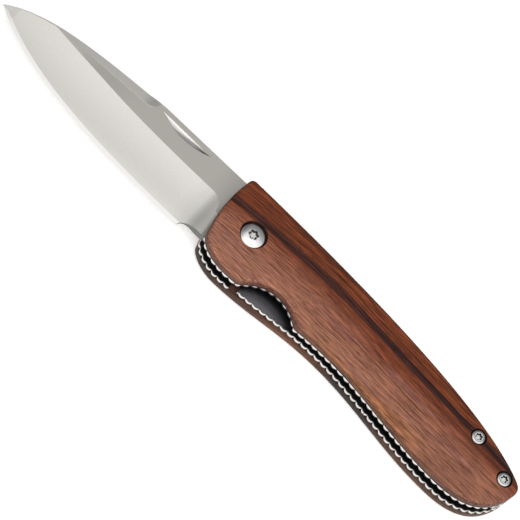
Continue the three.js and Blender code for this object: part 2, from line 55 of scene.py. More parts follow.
# Layers, in millimetres up from the face the knife lies on
layers = {"scale": 2.7, "liner": 1.2, "slot": 2.7, "bladeBase": 4.1, "blade": 2.3}
lockLinerBase = layers["scale"]
slotBase = lockLinerBase + layers["liner"]
markLinerBase = slotBase + layers["slot"]
markScaleBase = markLinerBase + layers["liner"]
handleTop = markScaleBase + layers["scale"]
bladeBase = layers["bladeBase"]
bladeTop = bladeBase + layers["blade"]
bladeMiddle = bladeBase + layers["blade"] / 2


def clamp(value):
    return min(max(value, 0.0), 1.0)


def smoothstep(value):
    share = clamp(value)
    return share ** 2 * (3 - 2 * share)


def rowPoint(x, y, z):
    return (pivot.x + x * mm, pivot.y + y * mm, z * mm)


# Node helpers

# A node's output that can be reckoned with: each operation adds a Math node to its tree
class Field:
    def __init__(self, tree, socket):
        self.tree, self.socket = tree, socket

    def calc(self, operation, *others, clamp=False):
        return calc(self.tree, operation, self, *others, clamp=clamp)

    __add__ = lambda self, other: self.calc("ADD", other)
    __sub__ = lambda self, other: self.calc("SUBTRACT", other)
    __rsub__ = lambda self, other: calc(self.tree, "SUBTRACT", other, self)
    __mul__ = lambda self, other: self.calc("MULTIPLY", other)
    __truediv__ = lambda self, other: self.calc("DIVIDE", other)
    __abs__ = lambda self: self.calc("ABSOLUTE")


def addNode(tree, kind, inputs=None, **settings):
    node = tree.nodes.new(kind)
    for key, value in settings.items():
        setattr(node, key, value)
    for key, value in (inputs or {}).items():
        value = value.socket if isinstance(value, Field) else value
        if isinstance(value, bpy.types.NodeSocket):
            tree.links.new(value, node.inputs[key])
        else:
            node.inputs[key].default_value = value
    return node


def addField(tree, kind, inputs=None, output=0, **settings):
    return Field(tree, addNode(tree, kind, inputs, **settings).outputs[output])


def calc(tree, operation, *values, clamp=False):
    return addField(tree, "ShaderNodeMath", dict(enumerate(values)), operation=operation, use_clamp=clamp)


def newTree(name, sizes, others):
    tree = bpy.data.node_groups.new(name, "GeometryNodeTree")
    for side in ("INPUT", "OUTPUT"):
        tree.interface.new_socket("Geometry", in_out=side, socket_type="NodeSocketGeometry")
    for label, value in sizes.items():
        socket = tree.interface.new_socket(label, in_out="INPUT", socket_type="NodeSocketFloat")
        socket.default_value = value
    for label, kind in others.items():
        tree.interface.new_socket(label, in_out="INPUT", socket_type="NodeSocket" + kind)
    given = addNode(tree, "NodeGroupInput").outputs
    return tree, {socket.name: Field(tree, socket) for socket in given}


def readNamed(tree, label, kind="FLOAT"):
    return addField(tree, "GeometryNodeInputNamedAttribute", {"Name": label}, "Attribute", data_type=kind)


def joined(tree, parts):
    join = addNode(tree, "GeometryNodeJoinGeometry")
    for part in parts:
        tree.links.new(part.socket, join.inputs[0])
    return join.outputs[0]


def endTree(tree, geometry, material, selection=True):
    real = addField(tree, "GeometryNodeRealizeInstances", {"Geometry": geometry})
    inputs = {"Geometry": real, "Selection": selection, "Material": material}
    addNode(tree, "NodeGroupOutput", {"Geometry": addField(tree, "GeometryNodeSetMaterial", inputs)})


def newPiece(name, data):
    data.name = name
    piece = bpy.data.objects.new(name, data)
    bpy.context.scene.collection.objects.link(piece)
    return piece


# The object with its modifiers applied, as a plain mesh under the same name
def applied(source, *used):
    graph = bpy.context.evaluated_depsgraph_get()
    mesh = bpy.data.meshes.new_from_object(source.evaluated_get(graph), depsgraph=graph)
    name = source.name
    for item in (source, *used):
        bpy.data.objects.remove(item)
    return newPiece(name, mesh)


def runTree(source, tree, values):
    modifier = source.modifiers.new(tree.name, "NODES")
    modifier.node_group = tree
    for item in tree.interface.items_tree:
        if item.in_out == "INPUT" and item.name in values:
            modifier[item.identifier] = values[item.name]
    return applied(source)


# Raises a plate from its loops, all sizes in millimetres
def runPlate(name, loops, tree, base, thickness, rounding, materials, up=1.0, depth=0.0, stand=0.0):
    values = {
        "Base": base * mm, "Thickness": thickness * mm, "Up": up, "Rounding": rounding * mm,
        "File Depth": depth * mm, "Crest Stand": stand * mm,
        "Edge Material": materials[0], "Face Material": materials[1],
    }
    return runTree(loopsObject(name, loops, rounding), tree, values)


# Closes seams, turns faces outwards, and keeps flat faces, creases and lines between finishes crisp
def finishMesh(piece, creaseAngle=0.6, flatHeights=(), byFinish=False):
    work = bmesh.new()
    work.from_mesh(piece.data)
    bmesh.ops.remove_doubles(work, verts=work.verts, dist=1e-7)
    bmesh.ops.dissolve_degenerate(work, edges=work.edges, dist=1e-8)
    bmesh.ops.holes_fill(work, edges=[edge for edge in work.edges if edge.is_boundary], sides=0)
    bmesh.ops.recalc_face_normals(work, faces=work.faces)
    for face in work.faces:
        height = face.calc_center_median().z
        flat = abs(face.normal.z) > 0.9999 and any(abs(height - h * mm) < 1e-6 for h in flatHeights)
        face.smooth = not flat
    for edge in work.edges:
        finishes = {face.material_index for face in edge.link_faces} if byFinish else {0}
        edge.smooth = edge.is_manifold and len(finishes) == 1 and edge.calc_face_angle(0) < creaseAngle
    openEdges = sum(not edge.is_manifold for edge in work.edges)
    work.to_mesh(piece.data)
    work.free()
    print(f"  {piece.name}: {len(piece.data.polygons)} faces, {openEdges} open edges")
    return piece


def place(piece, body, slot, *replaced):
    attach(piece, body)
    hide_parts(*replaced)


# Outlines, in millimetres round the pivot: x to the butt, y to the spine

handle = {
    "frontReach": 9.9, "frontBow": 1.5, "frontLow": (-8.3, -8.7), "spine": 11.9, "butt": (91.19, -0.4),
    "bulge": (0.8, -12.4), "waist": (32.0, -9.9), "palm": (74.5, -14.2), "cornerRound": 1.6, "buttRound": 2.0,
    "cutPlace": 15.2, "cutRadius": 10.6, "cutDepth": 7.0, "cutFrontBlend": 2.4, "cutRearBlend": 0.8,
}


def bezier(*corners, count=240):
    t = np.linspace(0, 1, count)[:, None]
    rows = [np.repeat(np.array(c, float)[None], count, 0) for c in corners]
    while len(rows) > 1:
        rows = [a * (1 - t) + b * t for a, b in zip(rows, rows[1:])]
    return rows[0]


def levelCurve(a, b):
    reach = 0.38 * (b[0] - a[0])
    return bezier(a, (a[0] + reach, a[1]), (b[0] - reach, b[1]), b)


def chain(*curves):
    return np.vstack([curves[0], *[c[1:] for c in curves[1:]]])


def reachAlong(points):
    return np.r_[0, np.cumsum(np.linalg.norm(np.diff(points, axis=0), axis=1))]


def evenly(points, step):
    reach = reachAlong(points)
    at = np.linspace(0, reach[-1], max(2, round(reach[-1] / step)) + 1)
    return np.c_[np.interp(at, reach, points[:, 0]), np.interp(at, reach, points[:, 1])]


def cutThumbSpace(points):
    h = handle
    across = points[:, 0] - h["cutPlace"]
    arc = np.sqrt(np.maximum(h["cutRadius"] ** 2 - across ** 2, 0)) - h["cutRadius"] - h["cutDepth"]
    arc[np.abs(across) >= h["cutRadius"]] = -100
    blend = np.where(across < 0, h["cutFrontBlend"], h["cutRearBlend"])
    overlap = np.maximum(blend - np.abs(points[:, 1] - arc), 0) / blend
    return np.c_[points[:, 0], np.maximum(points[:, 1], arc) + overlap ** 2 * blend / 4]


# The long side, from the front edge's lower corner by belly, butt and spine, and the front edge
def handleSides(cutOut, step):
    h = handle
    low, butt, bulge, waist, palm = [h[label] for label in ("frontLow", "butt", "bulge", "waist", "palm")]
    belly = chain(
        bezier(low, (low[0] + 1.1, low[1] - 1.9), (bulge[0] - 4.2, bulge[1]), bulge),
        levelCurve(bulge, waist),
        levelCurve(waist, palm),
        bezier(palm, (palm[0] + 10.5, palm[1]), (butt[0] - 1, butt[1] - 9), butt),
    )
    if cutOut:
        belly = cutThumbSpace(evenly(belly, 0.05))
    top = (-h["frontReach"], h["spine"])
    spineStart = (top[0] + h["cornerRound"], top[1])
    frontStart = (top[0], top[1] - h["cornerRound"])
    spine = bezier(butt, (butt[0] - 15.5, butt[1] + 9.9), (waist[0] - 2, h["spine"] - 0.3), spineStart)
    bow = (top[0] - h["frontBow"], (top[1] + low[1]) / 2 - 0.4)
    front = chain(bezier(spineStart, top, frontStart), bezier(frontStart, bow, low))
    belly, spine = [c[np.linalg.norm(c - butt, axis=1) > h["buttRound"]] for c in (belly, spine)]
    corner = bezier(belly[-1], butt, spine[0])
    return evenly(chain(belly, corner, spine), step), evenly(front, step)


def smoothLoop(values, window):
    weights = np.hanning(2 * window + 3)[1:-1]
    weights /= weights.sum()
    padded = np.concatenate([values[-window:], values, values[:window]])
    if values.ndim == 1:
        return np.convolve(padded, weights, "valid")
    return np.stack([np.convolve(column, weights, "valid") for column in padded.T], 1)


# A closed loop with what the plate tree reads at each point. Loops round holes run clockwise.
def loopOf(points, soft, window=1, filed=0.0, along=0.0, step=0.0, sink=0.0):
    count = len(points)
    before, after = np.roll(points, window, 0), np.roll(points, -window, 0)
    outward = np.c_[after[:, 1] - before[:, 1], before[:, 0] - after[:, 0]]
    outward /= np.linalg.norm(outward, axis=1)[:, None]
    prior = np.roll(outward, 1, 0)
    turned = np.arctan2(prior[:, 0] * outward[:, 1] - prior[:, 1] * outward[:, 0], (prior * outward).sum(1))
    spacing = np.linalg.norm(points - np.roll(points, 1, 0), axis=1)
    bend = np.maximum(turned / np.maximum(spacing, 1e-6), 1e-6)
    softened = np.minimum(np.broadcast_to(soft, count), 0.7 / smoothLoop(bend, 2))
    marks = {"filed": filed, "along": along, "step": step, "sink": sink}
    loop = {label: np.broadcast_to(value, count) for label, value in marks.items()}
    return {"points": points, "outward": outward, "soft": smoothLoop(softened, 3), **loop}


def polar(place, radius, angles):
    return np.c_[place[0] + radius * np.cos(angles), place[1] + radius * np.sin(angles)]


def circle(place, radius, count=96, turn=1):
    return polar(place, radius, turn * np.arange(count) / count * 2 * math.pi)


def holeLoop(place, radius, soft=0.05, step=0.0, sink=0.0):
    return loopOf(circle(place, radius, 72, -1), soft, step=step, sink=sink)


def loopsObject(name, loops, rounding):
    mesh = bpy.data.meshes.new(name)
    points = np.vstack([loop["points"] for loop in loops]) * mm + np.array(pivot[:2])
    edges, start = [], 0
    for loop in loops:
        size = len(loop["points"])
        edges += [(start + i, start + (i + 1) % size) for i in range(size)]
        start += size
    mesh.from_pydata([(x, y, 0) for x, y in points], edges, [])
    for label, scale in (("soft", 1 / rounding), ("step", mm), ("sink", mm), ("filed", 1), ("along", 1)):
        values = np.concatenate([loop[label] for loop in loops]) * scale
        mesh.attributes.new(label, "FLOAT", "POINT").data.foreach_set("value", values.astype(np.float32))
    outward = np.vstack([np.c_[loop["outward"], np.zeros(len(loop["points"]))] for loop in loops])
    vectors = mesh.attributes.new("outward", "FLOAT_VECTOR", "POINT").data
    vectors.foreach_set("vector", outward.astype(np.float32).ravel())
    return newPiece(name, mesh)


# One crest for each whole step of "along"
def crestWave(along):
    return abs((along * math.pi).calc("COSINE"))


# Plates: a tree that raises walls from loops ring by ring, files them and closes both faces.
# A ring is (share of the thickness, share of the rounding under it, sunk, softened, stepped).

def plateTree(name, rings):
    tree, given = newTree(name, {
        "Base": 0.0, "Thickness": 1.5 * mm, "Up": 1.0, "Rounding": 0.3 * mm,
        "File Depth": 0.0, "Crest Stand": 0.0,
    }, {"Edge Material": "Material", "Face Material": "Material"})
    rounding = readNamed(tree, "soft") * given["Rounding"]

    def move(level, fall, sunk, soft, step, filed=None):
        up = given["Thickness"] * level - rounding * fall - readNamed(tree, "sink") * sunk
        up = up * given["Up"]
        out = (rounding * soft + readNamed(tree, "step") * step) * -1.0
        if filed:
            out = out + filed
            up = up + given["Base"]
        inputs = {0: readNamed(tree, "outward", "FLOAT_VECTOR"), "Scale": out}
        side = addField(tree, "ShaderNodeVectorMath", inputs, operation="SCALE")
        rise = addField(tree, "ShaderNodeCombineXYZ", {"Z": up})
        return addField(tree, "ShaderNodeVectorMath", {0: side, 1: rise}, operation="ADD")

    def lid(edges, selection, height):
        curve = addField(tree, "GeometryNodeMeshToCurve", {"Mesh": edges, "Selection": selection})
        fill = addField(tree, "GeometryNodeFillCurve", {"Curve": curve})
        rise = addField(tree, "ShaderNodeCombineXYZ", {"Z": given["Base"] + given["Up"] * height})
        raised = addField(tree, "GeometryNodeTransform", {"Geometry": fill, "Translation": rise})
        inputs = {"Geometry": raised, "Material": given["Face Material"]}
        return addField(tree, "GeometryNodeSetMaterial", inputs)

    # Crests stand proud and meet in notches
    cut = given["File Depth"] * (1.0 - crestWave(readNamed(tree, "along")))
    filed = (given["Crest Stand"] - cut) * readNamed(tree, "filed")
    inputs = {"Geometry": given["Geometry"], "Offset": move(*rings[0], filed)}
    walls, top = addField(tree, "GeometryNodeSetPosition", inputs), True
    lids = [lid(walls, True, 0.0)]
    for last, following in zip(rings, rings[1:]):
        change = [b - a for a, b in zip(last, following)]
        inputs = {"Mesh": walls, "Selection": top, "Offset": move(*change), "Offset Scale": 1.0}
        extrude = addNode(tree, "GeometryNodeExtrudeMesh", inputs, mode="EDGES")
        walls, top = extrude.outputs["Mesh"], extrude.outputs["Top"]
    lids.append(lid(walls, top, given["Thickness"]))
    inputs = {"Geometry": walls, "Name": "wall", "Value": 1.0}
    walls = addField(tree, "GeometryNodeStoreNamedAttribute", inputs, data_type="FLOAT", domain="FACE")

    inputs = {"Geometry": joined(tree, (walls, *lids)), "Distance": 5e-7}
    merged = addField(tree, "GeometryNodeMergeByDistance", inputs)
    inputs = {0: readNamed(tree, "wall"), 1: 0.5}
    isWall = addField(tree, "FunctionNodeCompare", inputs, data_type="FLOAT", operation="GREATER_THAN")
    endTree(tree, merged, given["Edge Material"], isWall)
    return tree


arc = [math.radians(a) for a in (0, 15, 30, 50, 70, 90)]
bothRounded = [(0, math.cos(a) - 1, 0, 1 - math.sin(a), 0) for a in arc]
bothRounded += [(1, 1 - math.cos(a), 0, 1 - math.sin(a), 0) for a in reversed(arc)]
sunkAndRounded = [(0, 0, 0, 0, 0), (1, 1, 1, 0, 0), (1, 1, 1, 0, 1)]
sunkAndRounded += [(1, 1 - math.cos(a), 0, 1 - math.sin(a), 1) for a in reversed(arc)]
steelPlate = plateTree("filedPlate", bothRounded)
woodPlate = plateTree("sunkScale", sunkAndRounded)


# Materials

def newMaterial(name, color, metallic, roughness):
    material = bpy.data.materials.new(name)
    material.use_nodes = True
    shader = material.node_tree.nodes["Principled BSDF"]
    shader.inputs["Base Color"].default_value = (*color, 1)
    shader.inputs["Metallic"].default_value = metallic
    shader.inputs["Roughness"].default_value = roughness
    return material, material.node_tree, shader


def plug(shader, values):
    for label, value in values.items():
        value.tree.links.new(value.socket, shader.inputs[label])


# Object coordinates in millimetres round the pivot
def drawingPlace(tree):
    at = addField(tree, "ShaderNodeTexCoord", output="Object")
    at = addField(tree, "ShaderNodeVectorMath", {0: at, 1: (pivot.x, pivot.y, 0)}, operation="SUBTRACT")
    at = addField(tree, "ShaderNodeVectorMath", {0: at, "Scale": 1000}, operation="SCALE")
    return [Field(tree, socket) for socket in addNode(tree, "ShaderNodeSeparateXYZ", {0: at}).outputs]


def readMark(tree, label):
    return addField(tree, "ShaderNodeAttribute", output="Fac", attribute_name=label)


def noiseAt(x, y, z, detail, rough):
    at = addField(x.tree, "ShaderNodeCombineXYZ", {0: x, 1: y, 2: z})
    inputs = {"Vector": at, "Scale": 1.0, "Detail": detail, "Roughness": rough}
    return addField(x.tree, "ShaderNodeTexNoise", inputs)


# Stops are (place, colour), or (place, level) for a grey
def ramp(value, stops, kind="LINEAR"):
    node = addNode(value.tree, "ShaderNodeValToRGB", {0: value})
    elements = node.color_ramp.elements
    node.color_ramp.interpolation = kind
    while len(elements) < len(stops):
        elements.new(0.5)
    for element, (at, color) in zip(elements, stops):
        element.position = at
        element.color = (*((color,) * 3 if isinstance(color, float) else color), 1)
    return Field(value.tree, node.outputs[0])


def between(value, low, high, toLow=0.0, toHigh=1.0):
    inputs = {"Value": value, "From Min": low, "From Max": high, "To Min": toLow, "To Max": toHigh}
    return addField(value.tree, "ShaderNodeMapRange", inputs, interpolation_type="SMOOTHSTEP")


def blendColors(factor, a, b):
    a, b = [color if isinstance(color, Field) else (*color, 1) for color in (a, b)]
    return addField(factor.tree, "ShaderNodeMix", {0: factor, 6: a, 7: b}, 2, data_type="RGBA")


def shadeColor(color, level):
    grey = addField(color.tree, "ShaderNodeCombineColor", {0: level, 1: level, 2: level})
    inputs = {0: 1.0, 6: color, 7: grey}
    return addField(color.tree, "ShaderNodeMix", inputs, 2, data_type="RGBA", blend_type="MULTIPLY")


def bumpOf(height, distance, strength):
    inputs = {"Height": height, "Distance": distance, "Strength": strength}
    return addField(height.tree, "ShaderNodeBump", inputs)


# The height of a curve drawn through points, over a length from one x to another
def course(x, points, low, high):
    start, stop = points[0][0], points[-1][0]
    along = (x - start).calc("DIVIDE", stop - start, clamp=True)
    node = addNode(x.tree, "ShaderNodeFloatCurve", {"Value": along})
    curve = node.mapping.curves[0]
    while len(curve.points) < len(points):
        curve.points.new(0.5, 0.5)
    for point, (px, py) in zip(curve.points, points):
        point.location = ((px - start) / (stop - start), (py - low) / (high - low))
    node.mapping.update()
    return Field(x.tree, node.outputs[0]) * (high - low) + low


# Wood colours by distance from the streak, from the spine down to the belly
rosewood = {
    "bands": [
        (1.2, (0.180, 0.043, 0.014)), (-0.6, (0.170, 0.039, 0.014)), (-2.4, (0.176, 0.044, 0.018)),
        (-5.0, (0.235, 0.078, 0.044)), (-8.0, (0.288, 0.112, 0.068)), (-12.0, (0.318, 0.134, 0.083)),
        (-15.0, (0.315, 0.134, 0.084)),
    ],
    "deep": (0.060, 0.015, 0.008),
    "heart": (0.010, 0.005, 0.006),
    "plum": (0.048, 0.016, 0.013),
    "violet": (0.225, 0.094, 0.085),
    "gold": (0.360, 0.140, 0.052),
    "pore": (0.030, 0.010, 0.007),
    "grey": (0.050, 0.037, 0.028),
    # painted shade in the head rooms
    "recessShade": (0.020, 0.012, 0.010),
    "streak": [(-10, 3.8), (8, 5.0), (20, 5.3), (44, 4.05), (68, 2.55), (80.5, 1.85), (92, 0.9)],
    "streakLevel": 4.4,
    "streakHalfWidth": 1.15,
    "poreDepth": 0.00003,
}


def makeRosewood(name, shift, greyAlong=None):
    c = rosewood
    material, tree, shader = newMaterial(name, c["deep"], 0, 0.42)
    shader.inputs["Specular IOR Level"].default_value = 0.16
    x, y, height = drawingPlace(tree)
    z = height + shift

    # The dark streak bends down towards the butt, and the grain near it runs with it
    streak = course(x, c["streak"], -1.0, 6.0) - c["streakLevel"]
    level = y - c["streakLevel"] - streak * between(y, -10, 2, 0.3, 1.0)

    # Noise drawn out along the grain: how long, how fine across, and how fine through the thickness
    def grain(longScale, acrossScale, deepScale, detail, rough=0.55, of=level):
        return noiseAt(x * longScale, of * acrossScale, z * deepScale, detail, rough)

    layer = level + (grain(0.05, 0.12, 0.06, 2) - 0.5) * 1.6
    tone = grain(0.04, 0.30, 0.15, 3, of=layer)
    lines = grain(0.06, 1.5, 0.5, 4, 0.65, layer)
    strands = grain(0.15, 2.9, 2.0, 3, 0.65, layer)
    fibre = grain(0.35, 6.5, 6.0, 2, 0.6)

    # The bands, with unsteady borders. In front the wood is light closer to the streak.
    ahead = between(x, -5, 32, 1.8, 0.0) * between(level, -1.0, -2.4)
    depth = level - ahead + (tone - 0.5) * 6.0
    low, high = c["bands"][-1][0], c["bands"][0][0]
    stops = [((at - low) / (high - low), color) for at, color in reversed(c["bands"])]
    color = ramp((depth - low) / (high - low), stops)
    patches = grain(0.03, 0.35, 0.2, 2, of=layer)
    violet = between(patches, 0.52, 0.66, 0, 0.5) * between(level, -3, -6)
    color = blendColors(violet, color, c["violet"])
    middle = between(x, 22, 36) * between(x, 74, 54)
    color = blendColors(between(depth, -11.5, -15.5) * middle * 0.7, color, c["gold"])
    shaded = between(x, 58, 72, 0, 0.22) * between(level, -8, -12)
    color = blendColors(shaded, color, c["deep"])
    color = blendColors(between(lines, 0.50, 0.66, 0, 0.60), color, c["deep"])

    # Long fine hairs between the streak and the spine, and fewer under it
    hairs = grain(0.035, 2.6, 1.0, 3, 0.6, layer)
    hair = between(hairs, 0.50, 0.60) * between(layer, -2.5, 1.4, 0.10, 0.75)
    color = blendColors(hair, color, c["deep"])

    # The dark streak itself, with ragged sides and a plum upper half, and a fainter one under it
    ragged = level + (lines - 0.5) * 1.5
    half = c["streakHalfWidth"]
    half = between(x, 40, 68, half, 0.76 * half) + between(x, 70, 81, 0.0, 0.34 * half)
    core = between(abs(ragged) / half, 1.2, 0.7)
    heart = blendColors(between(hairs, 0.46, 0.54), c["plum"], c["heart"])
    under = between(abs(ragged + 2.3), 1.0, 0.1) * between(x, 40, 80, 0.15, 0.7)
    color = blendColors(under, color, c["deep"])
    color = blendColors(core * 0.9, color, heart)

    # Painted shade: a dark line along the spine's edge, wherever the spine is high
    rim = between(y + (lines - 0.5) * 2.0, 8.9, 10.2) * between(x, -4, 10, 0.0, 0.7)
    color = blendColors(rim, color, c["deep"])

    wall = readMark(tree, "wall")
    # On the lock side the walls are more golden, and the belly is greyer in stretches along its length
    if greyAlong:
        color = blendColors(wall * 0.75, color, c["gold"])
        greyed = ramp(between(x, -12, 94), greyAlong) * between(y, -6.5, -8.5)
        color = blendColors(greyed, color, c["grey"])

    # Open pores: short dark dashes that also sink in a little
    pores = between(grain(0.32, 4.2, 4.0, 1.5, 0.5), 0.60, 0.70)
    color = blendColors(pores * 0.5, color, c["pore"])
    shade = between(strands, 0.34, 0.66, 1.31, 0.56) * between(fibre, 0.3, 0.7, 0.76, 1.24)

    # Painted shade: the sides are darkest beside the liners and darker again at the outer rounding, and the
    # head rooms are darkened
    centre = handleTop / 2
    proud = abs(height - centre)
    paintedWallShade = between(proud, centre - 2.7, centre - 1.5, 0.28, 0.0)
    paintedWallShade = paintedWallShade + between(proud, centre - 0.85, centre - 0.15, 0.46, 0.0)
    color = shadeColor(color, shade * (1.0 - paintedWallShade * wall))
    inRoom = wall * readMark(tree, "sink").calc("MULTIPLY", 1000, clamp=True)
    color = blendColors(inRoom * 0.8, color, c["recessShade"])
    plug(shader, {
        "Base Color": color,
        "Roughness": between(fibre, 0.25, 0.75, 0.42, 0.56) + pores * 0.2,
        "Normal": bumpOf(fibre * 0.5 - pores * 0.6, c["poreDepth"], 0.6),
    })
    return material


# Steel with fine marks. They run along y where "along" is the larger scale, and along x where "across" is.
def makeSteel(name, color, roughness, along, across, depth, spread=0.05, shade=None, metallic=1.0):
    material, tree, shader = newMaterial(name, color, metallic, roughness)
    x, y, z = drawingPlace(tree)
    marks = noiseAt(x * along, y * across, z, 3, 0.6)
    light, dark = [tuple(v * f for v in color) for f in (1.002, 0.997)]
    toned = blendColors(between(marks, 0.35, 0.65), dark, light)
    plug(shader, {
        "Base Color": shadeColor(toned, shade(x, y, z)) if shade else toned,
        "Roughness": between(marks, 0.3, 0.7, roughness - spread, roughness + spread),
        "Normal": bumpOf(marks, depth, 0.5),
    })
    return material


# The filed edge: a painted highlight along the upper half of each crest, painted shade below it and in the
# notches.
# The lock side's crests get painted shade where they turn into the slot.
def notchShade(x, y, z):
    crest = crestWave(readMark(x.tree, "along"))
    z = z - readMark(x.tree, "lift")
    upper = z.calc("GREATER_THAN", (lockLinerBase + markLinerBase + layers["liner"]) / 2)
    base = upper * (markLinerBase - lockLinerBase) + lockLinerBase
    share = (z - base) / layers["liner"]
    slotSideShade = upper.calc("MAXIMUM", between(share, 0.86, 0.98, 1.0, 0.10))
    ridge = between(share, 0.26, 0.64, 0.28, 1.0) * slotSideShade
    return between(crest, 0.03, 0.34, 0.20, 1.0) * ridge


# Heads: painted shade in the star recess, painted shade on the sides of the rear ones, and a painted dark
# reflection on the front of the pivot's
def headShade(x, y, z):
    star = between(readMark(x.tree, "recess"), 0, 1, 1.0, 0.05)
    side = ramp(readMark(x.tree, "side"), [
        (0.0, 1.0), (0.10, 0.30), (0.22, 0.34), (0.40, 0.90), (0.80, 0.70), (1.0, 0.25),
    ])
    front = between(y * -0.15 - x, 1.4, 2.8, 1.0, 0.45)
    front = front.calc("MAXIMUM", between(x, -6.0, -5.0, 1.0, 0.0))
    return star * side * front


# The bevel's painted reflection: brightest along the grind line, and darker where the grind starts and
# towards the tip
def bevelShade(x, y, z):
    ends = between(x, -20, -11, 1.0, 0.78) * between(x, -55, -86, 1.0, 0.94)
    return ends * ramp((y + 10.0) / 15.0, [
        (0.0, 0.93), (0.11, 0.88), (0.24, 0.835), (0.36, 0.84), (0.55, 0.89), (0.80, 0.96), (1.0, 1.0),
    ])


# A painted highlight on the line where the false edge begins, strongest near its start
def ridgeLine(x):
    return between(readMark(x.tree, "ridge"), 0.90, 0.985) * between(x, -66, -52, 0.0, 0.16)


# Painted shade on the flats: darker towards the tip and beside the handle, plus the painted highlight line
def flatShade(x, y, z):
    return between(x, -40, -57, 1.0, 0.87) * between(x, -18, -9, 1.0, 0.76) + ridgeLine(x)


# Painted shade in the corner where the false edge swings down from the spine
def falseShade(x, y, z):
    return between(x, -44.0, -40.0, 1.0, 0.60) + ridgeLine(x)


# The nail nick: a painted highlight line under its straight side, painted light in front and painted shade
# towards the handle
def nickShade(x, y, z):
    below = (blade["spine"] - blade["nickBelow"] - y) / blade["nickWidth"]
    along = (x + blade["nickPlace"]) / (blade["nickLength"] / 2)
    left = 1.0 - along * along - below
    line = between(below, 0.16, 0.05) * between(along, 0.95, 0.2, 0.5, 1.0)
    dark = between(along, 0.30, 0.90) * between(below, 0.10, 0.25)
    level = between(along + below, 0.65, 0.0, 0.38, 0.84) * (1.0 - dark * 0.95)
    level = level * between(left, 0.02, 0.2, 0.55, 1.0)
    return level.calc("MAXIMUM", line * 1.05)


# Painted shade and light on the lock bar's dark face: darker at its inner side, lighter towards the belly
def barShade(x, y, z):
    return between(y, -3.5, -11.5, 0.55, 1.5)


markWood = makeRosewood("rosewoodMark", 0.0)
lockWood = makeRosewood("rosewoodLock", 14.0, [
    (0.0, 0.85), (0.14, 0.5), (0.24, 0.1), (0.36, 0.3), (0.48, 0.95), (0.64, 0.95), (0.78, 0.45), (1.0, 0.5),
])
flatSteel = makeSteel("bladeFlatSteel", (0.625, 0.602, 0.552), 0.30, 3.0, 0.2, 5e-8, 0.008, flatShade)
bevelSteel = makeSteel("bladeBevelSteel", (0.92, 0.895, 0.84), 0.27, 3.0, 0.2, 5e-8, 0.008, bevelShade)
falseSteel = makeSteel("bladeFalseEdgeSteel", (0.86, 0.84, 0.79), 0.50, 3.0, 0.2, 5e-8, 0.008, falseShade)
edgeSteel = makeSteel("bladeEdgeSteel", (0.80, 0.79, 0.775), 0.30, 12.0, 0.6, 4e-7, 0.02)
wallSteel = makeSteel("tangWallSteel", (0.17, 0.17, 0.16), 0.42, 0.5, 0.5, 2e-6, 0.04)
filedSteel = makeSteel("filedSteel", (0.75, 0.735, 0.71), 0.20, 0.8, 0.8, 1e-6, 0.03, notchShade)
headSteel = makeSteel("headSteel", (0.88, 0.87, 0.86), 0.15, 0.8, 0.8, 5e-7, 0.02, headShade)
# The liners' faces are nearly black: painted shade in the slot between them
linerSteel = makeSteel("linerFaceSteel", (0.06, 0.058, 0.055), 0.45, 0.35, 8.0, 2e-6)
barSteel = makeSteel("barFaceSteel", (0.13, 0.13, 0.142), 0.34, 0.35, 8.0, 2e-6, 0.05, barShade)
pinSteel = makeSteel("pinSteel", (0.58, 0.58, 0.57), 0.26, 1.0, 1.0, 1e-6)
bronze = makeSteel("washerBronze", (0.44, 0.28, 0.12), 0.36, 3.0, 3.0, 2e-6)
print("materials done")


# Filed steel plates

filework = {"pitch": 2.2, "depth": 0.42, "stand": 0.048, "soft": 0.34, "edge": 0.06}
pins = {
    "pivot": (0.0, 0.0), "pivotHole": 2.5, "stopPin": (3.9, 9.21), "stopPinHole": 1.5,
    "spineScrew": (74.7, 2.4), "spineScrewHole": 1.8, "buttScrew": (86.3, -1.4), "buttScrewHole": 1.8,
}


def filedPath(cutOut, step=0.11):
    longSide, front = handleSides(cutOut, step)
    reach = reachAlong(longSide)
    along = reach / reach[-1] * round(reach[-1] / filework["pitch"])
    blank = np.zeros(len(front) - 2)
    return {
        "points": np.vstack([longSide, front[1:-1]]),
        "filed": np.r_[np.ones(len(longSide)), blank],
        "along": np.r_[along, blank],
    }


# The path from one of its points on to another, closed by straight lines through the corners given
def rerouted(path, start, end, corners, step=0.15):
    size = len(path["points"])
    kept = np.arange(start, start + (end - start) % size + 1) % size
    corners = [path["points"][end], *corners, path["points"][start]]
    lines = [evenly(np.array(pair, float), step)[:-1] for pair in zip(corners, corners[1:])]
    extra = np.vstack(lines)[1:]
    blank = np.zeros(len(extra))
    points = np.vstack([path["points"][kept], extra])
    for corner in (points[0], points[len(kept) - 1]):
        near = np.clip(1.6 - np.linalg.norm(points - corner, axis=1) / 0.5, 0, 1)[:, None]
        points = points * (1 - near) + smoothLoop(points, 4) * near
    return {
        "points": points,
        "filed": np.r_[path["filed"][kept], blank],
        "along": np.r_[path["along"][kept], blank],
    }


def filedPlate(name, path, holes, base, thickness, faceMaterial):
    soft = np.where(path["filed"] > 0.5, filework["soft"], filework["edge"])
    loop = loopOf(path["points"], smoothLoop(soft, 2), 3, path["filed"], path["along"])
    piece = runPlate(name, [loop, *holes], steelPlate, base, thickness, filework["soft"],
                     (filedSteel, faceMaterial), depth=filework["depth"], stand=filework["stand"])
    return finishMesh(piece, flatHeights=(base, base + thickness))


def pinHoles(*names):
    return [holeLoop(pins[name], pins[name + "Hole"]) for name in names]


def liner(name, path, holes, base, faceMaterial=linerSteel):
    return filedPlate(name, path, holes, base, layers["liner"], faceMaterial)


